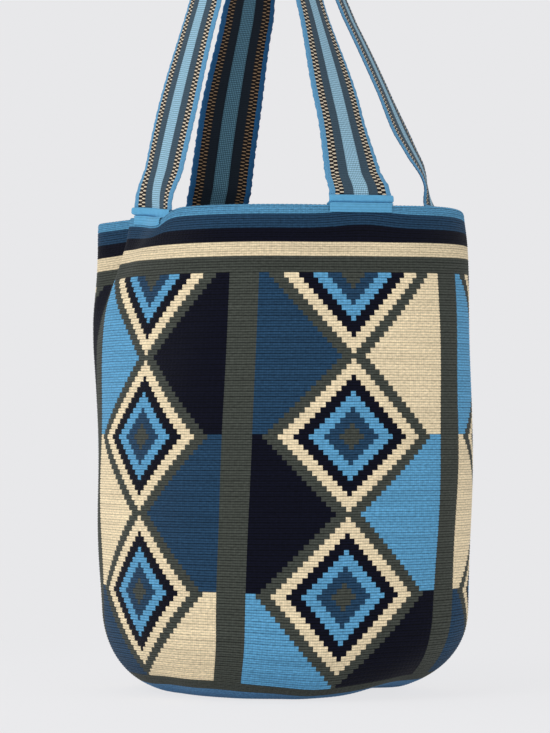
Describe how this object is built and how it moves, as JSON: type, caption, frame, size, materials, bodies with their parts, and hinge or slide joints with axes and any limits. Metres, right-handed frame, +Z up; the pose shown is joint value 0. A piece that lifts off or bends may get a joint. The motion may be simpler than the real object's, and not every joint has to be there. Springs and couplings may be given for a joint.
{
  "type": "crocheted bucket bag with strap handles",
  "caption": "Upright crocheted bucket bag with a round flat base, an open rim and woven strap handles sewn inside the rim.",
  "frame": {"origin": "centre of the bag's footprint, on the surface that the base stands on", "axes": "+Z up through the open rim, -Y the front, +X to the right when seen from the front"},
  "size_m": [0.2641, 0.2376, 0.5411],
  "materials": {
    "crochet": "matte crocheted cotton with a geometric pattern",
    "strap": "matte woven cotton band with lengthwise stripes",
    "binding": "matte light blue cotton tape"
  },
  "bodies": {
    "root": {"crochet_body": "crochet", "front_handle": "strap", "back_handle": "strap", "front_left_binding": "binding", "front_right_binding": "binding", "back_left_binding": "binding", "back_right_binding": "binding"}
  },
  "joints": []
}
